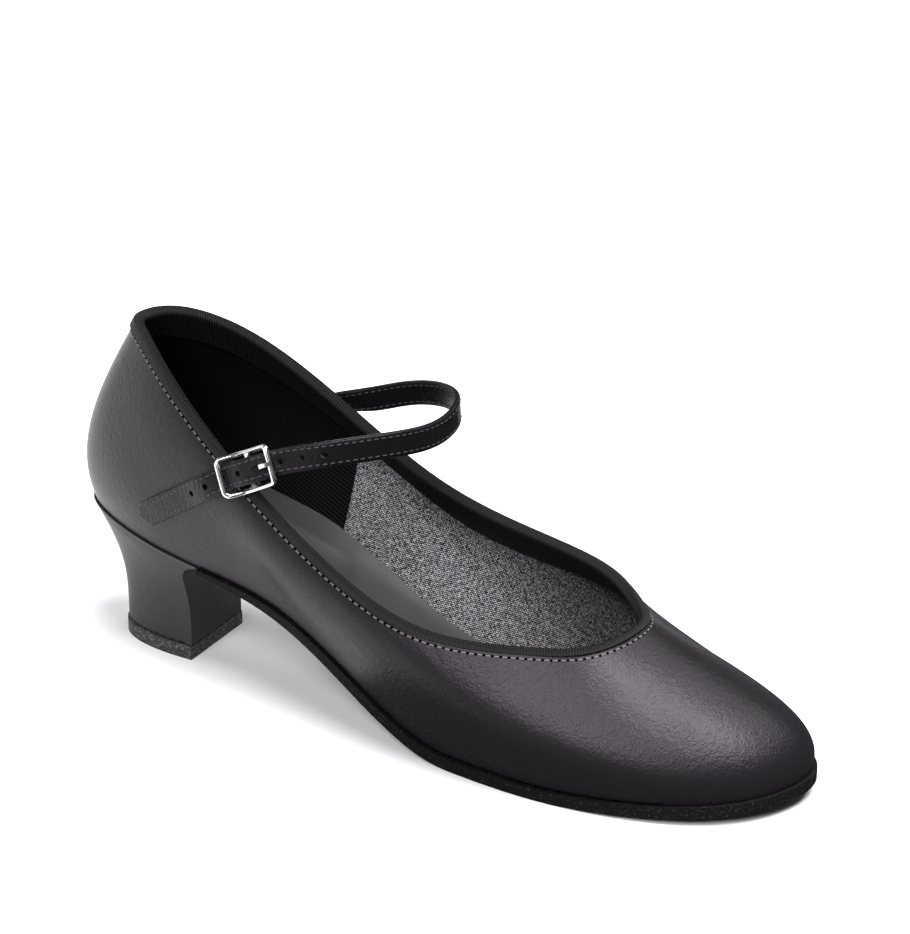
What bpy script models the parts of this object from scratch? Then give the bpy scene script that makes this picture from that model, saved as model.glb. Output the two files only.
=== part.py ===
"""Character shoe for the right foot: a low-cut shoe on a covered heel, with one buckled strap.

The shoe stands on its heel and the ball of its sole, on the plane Z = 0. +X points to the toe,
+Y to the inner side of the foot, +Z up. Sizes are in millimetres and become metres in add_mesh.
Places are first given from the back of the sole: x = 0 is the back of the seat.
"""

import bpy
import bmesh
import math
import numpy as np
from collections import namedtuple

MM = 0.001

# Driving sizes
LENGTH = 248.0          # from the back of the seat to the tip of the toe, along the sole
BALL_WIDTH = 72.0       # across the foot of the upper at the ball
COLLAR_HEIGHT = 108.0   # from the floor to the collar at the back
INSTEP_HEIGHT = 47.0    # from the floor to the collar beside the instep
COLLAR_BACK = 17.0      # how far the back of the collar leans in over the seat
THROAT = 54.5           # from the throat of the vamp to the tip of the toe
GAP = 0.3               # left between pieces that touch

# Thicknesses and edges
WALL = 1.8              # upper with its lining
SOLE = 3.8              # outsole at the ball
SOLE_EDGE = 1.2         # how far the outsole stands out round the upper
INSOLE = 2.0
RIM = 5.0               # how far the insole's edge rises up the wall round the seat
RIM_WIDE = 3.5          # how far in that rise begins
RIM_FADES = (72.0, 116.0)   # the rim runs out between these places
RIBBON = 0.7            # collar binding
INNER_FOLD = 9.0        # how far the binding reaches down inside
FOLD_CREST = 0.45       # where the binding starts to turn over the edge

# Heel
BREAST = 50.0           # where the heel ends and the outsole begins, from the back of the seat
HEEL_EDGE = 0.5         # how far the heel's seat stands out round the upper
TIP_BACK = 10.6         # back of the heel's tip
TIP_FRONT = 42.0        # front of the heel's tip
TIP_WIDTH = 28.6
TIP_SIDE = 0.3          # how far the tip's middle lies to the inner side
TIP_ROUND = 2.4         # power of the tip's outline: 2 is an ellipse, more is squarer
TOP_PIECE = 4.5
TOP_PIECE_EDGE = 0.5    # how far the wearing piece stands out round the tip
HEEL_HOLLOW = 2.1       # power of the hollow down the back and sides
HEEL_STRAIGHT = 0.8     # share of the heel's height over which it draws in
BREAST_CURVE = 9.0      # height of the curve from the breast into the sole
HEEL_COLUMNS = 33       # round the back of the heel, from breast to breast
HEEL_ROWS = (0.0, 0.05, 0.1, 0.17, 0.25, 0.34, 0.44, 0.56, 0.7, 0.85, 1.0)  # shares of its height

# Strap and buckle. Its neutral line runs over the buckle's centre bar and under its two ends.
STRAP_WIDTH = 8.0
STRAP_THICK = 1.8
STRAP_CHAMFER = 0.4
STRAP_PITCH = 2.4       # between two sections, at most about
STRAP_TIP_CUT = 2.0     # length of the cut corners at the free end
HOLE_PITCH = 7.0
HOLE_RADIUS = 1.0
HOLE_MARGIN = 0.6       # mesh kept round a hole
PRONG_HOLE = 4.6        # from the centre bar to the hole that the prong is in
PRONG_SLOT = 1.9        # half length of that hole
HOLES_TOWARDS_TIP = 4
HOLES_TOWARDS_INSTEP = 3
BUCKLE_AT = (75.6, -28.5, 79.9)
BUCKLE_ALONG = (0.89, 0.13, 0.43)
BUCKLE_LEAN = 18.0      # degrees that the buckle's face turns up
BUCKLE_LENGTH = 20.0
BUCKLE_WIDTH = 13.3
BUCKLE_WIRE = 0.9       # radius
BUCKLE_BAR = 0.7        # radius of the centre bar
BUCKLE_CORNER = 2.0
BUCKLE_BOW = 3.0        # how far the ends stand out from the centre bar
STRAP_OVER_BAR = 2.9    # the strap's middle above the axis of the centre bar
STRAP_UNDER_END = 2.15  # the strap's middle below the axis of each end
WRAP = 1.3              # radius at which tab and prong turn round the centre bar
TAB_WIDTH = 7.0
TAB_THICK = 0.7
TAB_SLOT = 1.2          # half width of the tab's slot for the prong
TAB_WHOLE_ROWS = 2      # rows of the tab before its slot begins
TAB_END_ANGLE = 150.0   # degrees that the tab reaches round the bar
PRONG_WIDTH = 1.2
PRONG_THICK = 0.8
EYE_THICK = 0.7         # the prong's metal round the bar
PRONG_REST = 0.7        # the prong's middle above the outside of the far end
EYE_FROM = 25.0         # degrees round the bar between which the eye runs: 0 is to the instep
EYE_TO = 270.0
ROUND_BAR = 9           # places along each turn round the bar

# Strap on the two quarters: places on the upper's outside, and how far the strap's middle
# stands out of it. It climbs over the binding at the collar.
Lie = namedtuple("Lie", "x z off")
OUTER_LIE = [
    Lie(33.5, 53.5, 1.25),
    Lie(41.0, 58.6, 1.25),
    Lie(48.5, 63.5, 1.3),
    Lie(55.5, 68.2, 1.7),
    Lie(61.5, 72.0, 2.5),
]
INNER_LIE = [
    Lie(71.0, 76.6, 2.4),
    Lie(64.5, 73.8, 1.8),
    Lie(57.5, 70.6, 1.3),
    Lie(52.0, 68.0, 1.25),
]

# Strap over the instep: places of its middle, and degrees that its outside turns up
Over = namedtuple("Over", "x y z lean")
INSTEP = [
    Over(97.5, -23.5, 88.0, 12.0),
    Over(107.0, -15.5, 89.0, 8.0),
    Over(114.3, -6.0, 88.8, 6.0),
    Over(118.2, 5.5, 87.6, 5.0),
    Over(119.0, 16.5, 87.8, 4.0),
    Over(116.5, 25.5, 88.8, 3.0),
    Over(110.0, 31.8, 88.4, 3.0),
    Over(101.0, 35.0, 86.8, 3.0),
    Over(90.0, 35.8, 83.6, 4.0),
    Over(79.5, 34.8, 79.9, 5.0),
]

# The prong between its eye and its point: along the strap and out of the buckle's face. It rises
# steeply through the strap's hole.
Bend = namedtuple("Bend", "along out")
PRONG_BENDS = [
    Bend(1.2, -1.2),
    Bend(2.3, -0.8),
    Bend(3.2, -0.1),
    Bend(3.9, 0.7),
    Bend(4.4, 1.7),
    Bend(4.8, 2.8),
    Bend(5.7, 3.9),
]

# The prong's end, from the axis of the buckle's far end and from where the prong rests on it
PRONG_END = [
    Bend(-2.2, -0.1),
    Bend(0.0, 0.0),
    Bend(1.1, -0.2),
]
PRONG_POINT = 0.8       # share of its thickness left at the point

# The tab between the collar and the centre bar: a share of the way out to the collar's place,
# and then how far each bend lies below that
TAB_BEND = Bend(0.6, 0.55)
TAB_SAG = 1.0
TAB_TURN_IN = 0.2
TAB_TURNS = (0.9, 1.6)  # the stretch of the collar that the tab leaves from

# Where the middle of the shoe's box lies, from the back of the seat
MIDDLE_X = 123.3
MIDDLE_Y = -0.3

# Bottom of the last: height of its edge above the floor and depth of the outsole under it
Station = namedtuple("Station", "x height sole")
BOTTOM = [
    Station(0.0, 45.5, 1.4),
    Station(25.0, 42.0, 1.4),
    Station(50.0, 37.5, 1.4),
    Station(76.0, 32.4, 3.0),
    Station(110.0, 17.2, 4.3),
    Station(140.0, 4.4, 3.8),
    Station(150.0, 3.5, 3.8),
    Station(175.0, 3.6, 3.8),
    Station(210.0, 5.4, 3.8),
    Station(235.0, 7.0, 3.8),
    Station(248.0, 8.0, 3.8),
]

# Ribs of the upper, nine a side from the heel to the toe. foot and collar are half widths as
# shares of the ball width, and height runs from the instep (0) to the back of the collar (1).
# The wall leaves the sole by out and up, and comes to the collar from a swell lower down.
# fold is how far the collar binding reaches down the outside.
Rib = namedtuple("Rib", "foot collar height out up swell drop fold")
OUTER_SIDE = [
    Rib(0.000, 0.000, 1.000, 8.5, 19.0, 11.5, 20.0, 2.4),
    Rib(0.180, 0.130, 0.985, 8.0, 19.0, 8.0, 19.0, 2.2),
    Rib(0.290, 0.285, 0.820, 7.5, 19.5, 6.0, 15.5, 2.3),
    Rib(0.305, 0.380, 0.485, 8.0, 18.0, 7.5, 12.0, 2.3),
    Rib(0.415, 0.460, 0.165, 8.0, 15.5, 8.0, 10.0, 2.2),
    Rib(0.500, 0.505, -0.020, 7.5, 13.0, 8.0, 12.0, 1.7),
    Rib(0.440, 0.408, -0.050, 6.0, 12.5, 13.5, 20.0, 1.4),
    Rib(0.235, 0.265, -0.045, 5.0, 13.5, 20.0, 20.0, 1.4),
    Rib(-0.055, 0.010, -0.030, 5.0, 14.0, 34.0, 16.0, 1.4),
]
INNER_SIDE = [
    Rib(0.000, 0.000, 1.000, 8.5, 19.0, 11.5, 20.0, 2.4),
    Rib(0.245, 0.170, 0.985, 8.0, 19.0, 7.5, 19.0, 2.2),
    Rib(0.345, 0.345, 0.825, 7.5, 19.5, 6.0, 15.5, 2.3),
    Rib(0.285, 0.430, 0.510, 8.0, 18.0, 7.5, 12.0, 2.3),
    Rib(0.305, 0.465, 0.170, 8.0, 15.5, 6.5, 10.5, 2.2),
    Rib(0.480, 0.490, 0.005, 7.5, 13.0, 6.0, 12.0, 1.7),
    Rib(0.480, 0.415, -0.045, 6.0, 12.0, 12.5, 20.0, 1.4),
    Rib(0.275, 0.180, -0.040, 5.0, 12.5, 24.0, 21.0, 1.4),
    Rib(0.055, -0.010, -0.030, 5.0, 14.0, 34.0, 16.0, 1.4),
]

# Mesh fineness
AROUND = 84             # columns round the shoe
RISES = 10              # rows up the wall
SMOOTH_ANGLE = math.radians(35.0)
STEP = 1e-3             # step of a slope taken from two near points
SEARCH_STEPS = 12       # steps towards a place on the wall
COLLAR_STEPS = 141      # places along TAB_TURNS
WIRE_SIDES = 8
BAR_SIDES = 10
CORNER_STEPS = 4        # steps round each corner of the buckle
ARM_SHARES = (0.5, 0.0, -0.5)   # places along each arm of the buckle
FACE_COLUMNS = (1, 2, 3)        # corners of the strap's section round a hole, on its face
BACK_COLUMNS = (10, 9, 8)       # and on its back
HOLE_ANGLES = [math.radians(45.0 * k - 90.0) for k in range(8)]


def smooth(places, values, at):
    """A natural cubic curve through values at places, read at the given places."""
    places = np.asarray(places, float)
    values = np.asarray(values, float)
    gaps = np.diff(places)
    rises = np.diff(values, axis=0) / gaps.reshape((-1,) + (1,) * (values.ndim - 1))
    count = len(places)
    system = np.zeros((count, count))
    target = np.zeros_like(values)
    system[0, :2] = 2.0, 1.0
    system[-1, -2:] = 1.0, 2.0
    target[0] = 3.0 * rises[0]
    target[-1] = 3.0 * rises[-1]
    for i in range(1, count - 1):
        system[i, i - 1:i + 2] = gaps[i], 2.0 * (gaps[i - 1] + gaps[i]), gaps[i - 1]
        target[i] = 3.0 * (gaps[i] * rises[i - 1] + gaps[i - 1] * rises[i])
    slopes = np.linalg.solve(system, target)
    at = np.asarray(at, float)
    span = np.clip(np.searchsorted(places, at) - 1, 0, count - 2)
    part = (at - places[span]) / gaps[span]
    wide = gaps[span]
    if values.ndim > 1:
        part = part[..., None]
        wide = wide[..., None]
    return (
        (2 * part**3 - 3 * part**2 + 1) * values[span]
        + (part**3 - 2 * part**2 + part) * wide * slopes[span]
        + (3 * part**2 - 2 * part**3) * values[span + 1]
        + (part**3 - part**2) * wide * slopes[span + 1]
    )


def round_rows(column, turn, outer_sign=1.0):
    """One column of the ribs as a smooth loop: heel, outer side, toe, inner side, heel."""
    outer = [outer_sign * getattr(rib, column) for rib in OUTER_SIDE]
    inner = [getattr(rib, column) for rib in INNER_SIDE]
    rows = np.array(outer + inner[-2:0:-1])
    count = len(rows)
    system = 4.0 * np.eye(count) + np.roll(np.eye(count), 1, 0) + np.roll(np.eye(count), -1, 0)
    slopes = np.linalg.solve(system, 3.0 * (np.roll(rows, -1) - np.roll(rows, 1)))
    place = np.asarray(turn, float) / (2.0 * math.pi) * count
    span = np.floor(place).astype(int)
    part = place - span
    here = span % count
    after = (span + 1) % count
    return (
        (2 * part**3 - 3 * part**2 + 1) * rows[here]
        + (part**3 - 2 * part**2 + part) * slopes[here]
        + (3 * part**2 - 2 * part**3) * rows[after]
        + (part**3 - part**2) * slopes[after]
    )


def seat_height(x):
    """Height of the last's bottom at x. It is level where the ball rests."""
    places = [station.x for station in BOTTOM]
    heights = [station.height for station in BOTTOM]
    return np.maximum(smooth(places, heights, x), SOLE)


def sole_depth(x):
    """Thickness of the outsole at x."""
    places = [station.x for station in BOTTOM]
    return np.interp(x, places, [station.sole for station in BOTTOM])


def foot_plan(turn):
    """The edge where the upper meets the sole, seen from above."""
    x = LENGTH * (1.0 - np.cos(turn)) / 2.0
    y = BALL_WIDTH * round_rows("foot", turn, -1.0)
    return np.stack([x, y], -1)


def collar_plan(turn):
    """The collar's edge, seen from above."""
    x = COLLAR_BACK + (LENGTH - THROAT - COLLAR_BACK) * (1.0 - np.cos(turn)) / 2.0
    y = BALL_WIDTH * round_rows("collar", turn, -1.0)
    return np.stack([x, y], -1)


def plan_outward(plan, turn):
    """Unit vectors that point out of a closed plan curve."""
    along = plan(turn + STEP) - plan(turn - STEP)
    out = np.stack([along[..., 1], -along[..., 0]], -1)
    return out / np.linalg.norm(out, axis=-1, keepdims=True)


def bottom_ring(turn, out, lift=0.0):
    """Points round the last's bottom, moved out of its edge and lifted off the sole."""
    plan = foot_plan(turn) + out * plan_outward(foot_plan, turn)
    height = seat_height(plan[..., 0]) + lift
    return np.concatenate([plan, height[..., None]], -1)


def rib_curve(turn, rise):
    """A point of the upper: one curve from the sole's edge up to the collar."""
    turn, rise = np.broadcast_arrays(turn, rise)
    foot_out = plan_outward(foot_plan, turn)
    collar_out = plan_outward(collar_plan, turn)
    collar_height = INSTEP_HEIGHT + (COLLAR_HEIGHT - INSTEP_HEIGHT) * round_rows("height", turn)
    first = bottom_ring(turn, 0.0, GAP)
    last = np.concatenate([collar_plan(turn), collar_height[..., None]], -1)
    second = first + np.concatenate([
        foot_out * round_rows("out", turn)[..., None],
        round_rows("up", turn)[..., None],
    ], -1)
    third = last + np.concatenate([
        collar_out * round_rows("swell", turn)[..., None],
        -round_rows("drop", turn)[..., None],
    ], -1)
    s = rise[..., None]
    return (
        (1 - s)**3 * first
        + 3 * (1 - s)**2 * s * second
        + 3 * (1 - s) * s**2 * third
        + s**3 * last
    )


def wall(turn, rise, out=0.0):
    """A point of the upper's outside, moved out of it by a distance."""
    turn, rise = np.broadcast_arrays(np.asarray(turn, float), np.asarray(rise, float))
    along = rib_curve(turn + STEP, rise) - rib_curve(turn - STEP, rise)
    up = rib_curve(turn, rise + STEP) - rib_curve(turn, rise - STEP)
    normal = np.cross(along, up)
    normal /= np.linalg.norm(normal, axis=-1, keepdims=True)
    return rib_curve(turn, rise) + np.asarray(out)[..., None] * normal


def collar(turn, down, out):
    """A point at a distance down from the collar's edge, and out of the upper's outside."""
    reach = 3.0 * np.hypot(round_rows("swell", turn), round_rows("drop", turn))
    return wall(turn, 1.0 - down / reach, out)


def add_mesh(name, points, faces, material):
    """Make one object from points in millimetres and faces, its normals facing out."""
    shifted = (np.asarray(points, float) - (MIDDLE_X, MIDDLE_Y, 0.0)) * MM
    mesh = bpy.data.meshes.new(name)
    mesh.from_pydata([tuple(point) for point in shifted], [], faces)
    work = bmesh.new()
    work.from_mesh(mesh)
    bmesh.ops.remove_doubles(work, verts=work.verts, dist=0.01 * MM)
    bmesh.ops.recalc_face_normals(work, faces=work.faces)
    work.to_mesh(mesh)
    work.free()
    mesh.shade_smooth()
    mesh.set_sharp_from_angle(angle=SMOOTH_ANGLE)
    mesh.materials.append(material)
    thing = bpy.data.objects.new(name, mesh)
    bpy.context.scene.collection.objects.link(thing)
    return thing


def band_faces(rings, count, closed):
    """Quads between rings of count points. closed joins the last ring to the first."""
    faces = []
    for ring in range(rings if closed else rings - 1):
        low = ring * count
        high = (ring + 1) % rings * count
        for k in range(count):
            after = (k + 1) % count
            faces.append((low + k, low + after, high + after, high + k))
    return faces


def capped_loft(name, rings, material):
    """A solid through rings of points, with a flat cap at each end."""
    count = len(rings[0])
    faces = band_faces(len(rings), count, closed=False)
    faces.append(tuple(range(count)))
    faces.append(tuple(range((len(rings) - 1) * count, len(rings) * count)))
    return add_mesh(name, np.concatenate(rings), faces, material)


def plate(name, outer, inner, top, bottom, material):
    """A plate between two edges, from back to front, with a top and an underside.

    outer and inner hold points in plan, and top and bottom give the heights at x.
    """
    count = len(outer)
    rings = []
    for k in range(count):
        ring = []
        for edge, height in ((outer, bottom), (inner, bottom), (inner, top), (outer, top)):
            x, y = edge[k]
            ring.append((x, y, float(height(x))))
        rings.append(ring)
    return capped_loft(name, rings, material)


def principled(name, color, roughness, metallic=0.0):
    """One material of the shoe."""
    material = bpy.data.materials.new(name)
    material.use_nodes = True
    shader = material.node_tree.nodes["Principled BSDF"]
    shader.inputs["Base Color"].default_value = (*color, 1.0)
    shader.inputs["Roughness"].default_value = roughness
    shader.inputs["Metallic"].default_value = metallic
    return material


def make_upper():
    """The upper: a shell open at the collar and underneath."""
    turn = np.linspace(0.0, 2.0 * math.pi, AROUND, endpoint=False)
    rises = np.linspace(0.0, 1.0, RISES)
    rings = [wall(turn, rise) for rise in rises]
    rings += [wall(turn, rise, -WALL) for rise in rises[:0:-1]]
    rings.append(bottom_ring(turn, -WALL, GAP))
    faces = band_faces(len(rings), AROUND, closed=True)
    leather = principled("upper_leather", (0.035, 0.032, 0.035), 0.45)
    return add_mesh("upper", np.concatenate(rings), faces, leather)


def make_binding():
    """The ribbon folded over the collar's edge."""
    turn = np.linspace(0.0, 2.0 * math.pi, AROUND, endpoint=False)
    fold = round_rows("fold", turn)
    near = GAP
    far = GAP + RIBBON
    section = [
        (fold, near),
        (fold, far),
        (-FOLD_CREST, far),
        (-far, FOLD_CREST),
        (-far, -WALL - FOLD_CREST),
        (-FOLD_CREST, -WALL - far),
        (INNER_FOLD / 2.0, -WALL - far),
        (INNER_FOLD, -WALL - far),
        (INNER_FOLD, -WALL - near),
        (INNER_FOLD / 2.0, -WALL - near),
        (-near, -WALL - near),
        (-near, near),
    ]
    rings = [collar(turn, down, out) for down, out in section]
    faces = band_faces(len(rings), AROUND, closed=True)
    ribbon = principled("binding_ribbon", (0.02, 0.02, 0.022), 0.7)
    return add_mesh("topline_binding", np.concatenate(rings), faces, ribbon)


def insole_rim(turn):
    """The insole's upper edge against the wall, which rises round the seat."""
    x = foot_plan(turn)[:, 0]
    rise = INSOLE + RIM * np.interp(x, RIM_FADES, (1.0, 0.0))
    return wall(turn, rise / (3.0 * round_rows("up", turn)), -WALL - 2.0 * GAP)


def make_insole():
    """The insole, inside the foot of the upper."""
    turn = np.linspace(0.0, math.pi, AROUND // 2 + 1)
    edge = -WALL - GAP
    sides = []
    for side in (turn, -turn):
        floor = bottom_ring(side, edge, GAP)
        shoulder = bottom_ring(side, edge - RIM_WIDE, GAP + INSOLE)
        sides.append((floor, insole_rim(side), shoulder))
    outer, inner = sides
    rings = np.stack([outer[0], inner[0], inner[1], inner[2], outer[2], outer[1]], 1)
    board = principled("insole_board", (0.06, 0.06, 0.065), 0.6)
    return capped_loft("insole", rings[1:-1], board)


def breast_turn():
    """The turn at which the foot of the upper passes the breast of the heel."""
    return math.acos(1.0 - 2.0 * BREAST / LENGTH)


def make_outsole():
    """The outsole, from the breast of the heel to the toe, level under the ball."""
    turn = np.linspace(breast_turn(), math.pi, AROUND // 2)
    outer = bottom_ring(turn, SOLE_EDGE)[:, :2]
    inner = bottom_ring(-turn, SOLE_EDGE)[:, :2]
    outer[0, 0] = BREAST + GAP
    inner[0, 0] = BREAST + GAP
    rubber = principled("sole_composition", (0.015, 0.015, 0.015), 0.6)

    def bottom(x):
        return seat_height(x) - sole_depth(x)

    return plate("outsole", outer, inner, seat_height, bottom, rubber)


def tip_outline(grow, count):
    """The heel's tip in plan, from its outer front corner round the back to the inner one."""
    angle = np.linspace(0.0, math.pi, count)
    across = -np.cos(angle)
    back = np.sin(angle)
    half = TIP_WIDTH / 2.0 + grow
    long = TIP_FRONT - TIP_BACK + grow
    x = TIP_FRONT - long * back ** (2.0 / TIP_ROUND)
    y = TIP_SIDE + half * np.sign(across) * np.abs(across) ** (2.0 / TIP_ROUND)
    return np.stack([x, y], -1)


def make_heel():
    """The heel: it draws in from the seat to its tip, with a hollow back and a curved breast."""
    turn = np.linspace(breast_turn(), -breast_turn(), HEEL_COLUMNS)
    seat = bottom_ring(turn, HEEL_EDGE)[:, :2]
    seat[0, 0] = BREAST
    seat[-1, 0] = BREAST
    tip = tip_outline(0.0, HEEL_COLUMNS)
    foot = TOP_PIECE + GAP
    back = HEEL_COLUMNS // 2
    rings = []
    for share in HEEL_ROWS:
        drawn = 1.0 - max(0.0, 1.0 - share / HEEL_STRAIGHT) ** HEEL_HOLLOW
        plan = seat * (1.0 - drawn) + tip * drawn
        height = seat_height(seat[:, 0]) * (1.0 - share) + foot * share
        under_sole = (seat_height(BREAST) - foot) * share
        curve = min(1.0, under_sole / BREAST_CURVE)
        front = TIP_FRONT + (BREAST - TIP_FRONT) * (1.0 - math.sqrt(1.0 - (1.0 - curve) ** 2))
        reach = (front - plan[back, 0]) / (max(plan[0, 0], plan[-1, 0]) - plan[back, 0])
        plan[:, 0] = plan[back, 0] + (plan[:, 0] - plan[back, 0]) * reach
        rings.append(np.concatenate([plan, height[:, None]], -1))
    cover = principled("heel_cover", (0.04, 0.037, 0.04), 0.45)
    return capped_loft("heel", rings, cover)


def make_top_piece():
    """The wearing piece under the heel's tip."""
    plan = tip_outline(TOP_PIECE_EDGE, HEEL_COLUMNS)
    rings = [
        np.concatenate([plan, np.full((len(plan), 1), height)], -1)
        for height in (0.0, TOP_PIECE)
    ]
    rubber = principled("top_piece_rubber", (0.02, 0.02, 0.02), 0.7)
    return capped_loft("top_piece", rings, rubber)


def unit(vectors):
    """The same vectors at length one."""
    vectors = np.asarray(vectors, float)
    return vectors / np.linalg.norm(vectors, axis=-1, keepdims=True)


def lean_out(along, lean):
    """A unit vector out of a strap that runs along, turned up by lean degrees."""
    along = unit(along)
    level = unit((along[1], -along[0], 0.0))
    raised = np.cross(level, along)
    angle = math.radians(lean)
    return level * math.cos(angle) + raised * math.sin(angle)


def wall_at(x, z, side):
    """Turn and rise of the place on the upper's outside at x and z. side is 1 or -1 (inner)."""
    turn = side * math.acos(1.0 - 2.0 * x / LENGTH)
    rise = 0.5
    for _ in range(SEARCH_STEPS):
        here = rib_curve(turn, rise)
        by_turn = (rib_curve(turn + STEP, rise) - here) / STEP
        by_rise = (rib_curve(turn, rise + STEP) - here) / STEP
        slopes = np.array([[by_turn[0], by_rise[0]], [by_turn[2], by_rise[2]]])
        move = np.linalg.solve(slopes, (x - here[0], z - here[2]))
        turn += move[0]
        rise += move[1]
    return turn, rise


def lie_on(lie, side):
    """The strap's middle and its outward direction at a place on a quarter."""
    turn, rise = wall_at(lie.x, lie.z, side)
    middle = wall(turn, rise, lie.off)
    return middle, unit(middle - wall(turn, rise))


def buckle_axes():
    """The buckle's own directions: along the strap, out of its face and up across it."""
    along = unit(BUCKLE_ALONG)
    out = lean_out(along, BUCKLE_LEAN)
    return along, out, np.cross(out, along)


def in_buckle(along, out, across):
    """A place given in the buckle's own directions, from the axis of its centre bar."""
    axes = buckle_axes()
    place = [np.asarray(size, float)[..., None] * axis for size, axis in zip((along, out, across), axes)]
    return np.asarray(BUCKLE_AT) + place[0] + place[1] + place[2]


def end_bar():
    """Distance from the centre bar to the axis of either end of the buckle."""
    return BUCKLE_LENGTH / 2.0 - BUCKLE_WIRE


def strap_rows():
    """Places of the strap's middle with its outward directions, and the row at the centre bar."""
    rows = [lie_on(lie, 1.0) for lie in OUTER_LIE]
    out = buckle_axes()[1]
    under = BUCKLE_BOW - STRAP_UNDER_END
    rows.append((in_buckle(-end_bar(), under, 0.0), out))
    at_bar = len(rows)
    rows.append((in_buckle(0.0, STRAP_OVER_BAR, 0.0), out))
    rows.append((in_buckle(end_bar(), under, 0.0), out))
    places = [np.array((row.x, row.y, row.z)) for row in INSTEP]
    inner = [lie_on(lie, -1.0) for lie in INNER_LIE]
    line = [rows[-1][0]] + places + [inner[0][0]]
    for k, row in enumerate(INSTEP):
        rows.append((places[k], lean_out(line[k + 2] - line[k], row.lean)))
    return rows + inner, at_bar


def strap_line():
    """Functions for the strap's middle and axes at a distance from the centre bar, and its ends."""
    rows, at_bar = strap_rows()
    places = np.array([row[0] for row in rows])
    outs = np.array([row[1] for row in rows])
    steps = np.linalg.norm(np.diff(places, axis=0), axis=1)
    travel = np.concatenate([[0.0], np.cumsum(steps)])
    travel -= travel[at_bar]

    def middle(at):
        return smooth(travel, places, at)

    def axes(at):
        along = unit(middle(at + STEP) - middle(at - STEP))
        out = smooth(travel, outs, at)
        out = unit(out - np.sum(out * along, -1, keepdims=True) * along)
        return along, out, np.cross(out, along)

    return middle, axes, travel[0], travel[-1]


def hole_places():
    """Distance of each hole from the centre bar, with its half length. The prong's is long."""
    numbers = range(-HOLES_TOWARDS_TIP, HOLES_TOWARDS_INSTEP + 1)
    return [(PRONG_HOLE + k * HOLE_PITCH, HOLE_RADIUS if k else PRONG_SLOT) for k in numbers]


def strap_stations(start, end):
    """Distances of the strap's sections: three at each hole, and even steps between them."""
    fixed = [start + STRAP_TIP_CUT]
    for at, long in hole_places():
        fixed += [at - long - HOLE_MARGIN, at, at + long + HOLE_MARGIN]
    fixed.append(end)
    stations = [start]
    for after in fixed:
        steps = max(1, round((after - stations[-1]) / STRAP_PITCH))
        stations += list(np.linspace(stations[-1], after, steps + 1)[1:])
    return stations


def strap_section(wide):
    """Across and out of each corner of the strap's section: along its face, then its back."""
    thick = STRAP_THICK / 2.0
    patch = HOLE_RADIUS + HOLE_MARGIN
    flat = wide - STRAP_CHAMFER
    slim = thick - STRAP_CHAMFER
    face = [(across, thick) for across in (-flat, -patch, 0.0, patch, flat)]
    back = [(across, -thick) for across in (flat, patch, 0.0, -patch, -flat)]
    return face + [(wide, slim), (wide, -slim)] + back + [(-wide, -slim), (-wide, slim)]


def hole_ring(row, columns, count):
    """Corners of the strap's grid round a hole at a row."""
    low, middle, high = columns
    steps = (
        (0, low), (1, low), (1, middle), (1, high),
        (0, high), (-1, high), (-1, middle), (-1, low),
    )
    return [(row + step) * count + column for step, column in steps]


def joined(first, second):
    """Quads between two closed rings of corners."""
    count = len(first)
    after = [(k + 1) % count for k in range(count)]
    return {(first[k], first[after[k]], second[after[k]], second[k]) for k in range(count)}


def used_only(points, faces):
    """The points that the faces use, and the faces numbered to match."""
    used = sorted({corner for face in faces for corner in face})
    place = {corner: k for k, corner in enumerate(used)}
    return np.asarray(points)[used], sorted(tuple(place[corner] for corner in face) for face in faces)


def make_strap(leather):
    """The strap with its holes, from its free end on the outer quarter to the inner quarter."""
    middle, axes, start, end = strap_line()
    stations = strap_stations(start, end)
    half = STRAP_WIDTH / 2.0
    points = []
    for k, at in enumerate(stations):
        along, out, across = axes(at)
        section = strap_section(half - STRAP_TIP_CUT if k == 0 else half)
        points += [middle(at) + across * a + out * o for a, o in section]
    count = len(section)
    last = len(points) - count
    faces = set(band_faces(len(stations), count, closed=False))
    faces |= {tuple(range(count)), tuple(range(last, last + count))}
    for at, long in hole_places():
        row = stations.index(at)
        along, out, across = axes(at)
        rims = []
        for columns, side in ((FACE_COLUMNS, 1.0), (BACK_COLUMNS, -1.0)):
            centre = row * count + columns[1]
            rim = list(range(len(points), len(points) + len(HOLE_ANGLES)))
            for angle in HOLE_ANGLES:
                reach = along * long * math.cos(angle) + across * HOLE_RADIUS * math.sin(angle)
                points.append(middle(at) + reach + out * side * STRAP_THICK / 2.0)
            faces = {face for face in faces if centre not in face}
            faces |= joined(hole_ring(row, columns, count), rim)
            rims.append(rim)
        faces |= joined(*rims)
    return add_mesh("ankle_strap", *used_only(points, faces), leather)


def frame_path():
    """The buckle's wire: along and across, round its four corners, with its arms divided."""
    long = end_bar()
    wide = BUCKLE_WIDTH / 2.0 - BUCKLE_WIRE
    corner = BUCKLE_CORNER - BUCKLE_WIRE / 2.0
    path = []
    for quarter in range(4):
        turn = math.pi / 2.0 * quarter
        sign_along = 1.0 if quarter in (0, 3) else -1.0
        sign_across = 1.0 if quarter < 2 else -1.0
        for k in range(CORNER_STEPS + 1):
            angle = turn + math.pi / 2.0 * k / CORNER_STEPS
            path.append((
                sign_along * (long - corner) + corner * math.cos(angle),
                sign_across * (wide - corner) + corner * math.sin(angle),
            ))
        if quarter in (0, 2):
            reach = long - corner
            path += [(sign_along * reach * share, sign_across * wide) for share in ARM_SHARES]
    return np.array(path)


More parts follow.
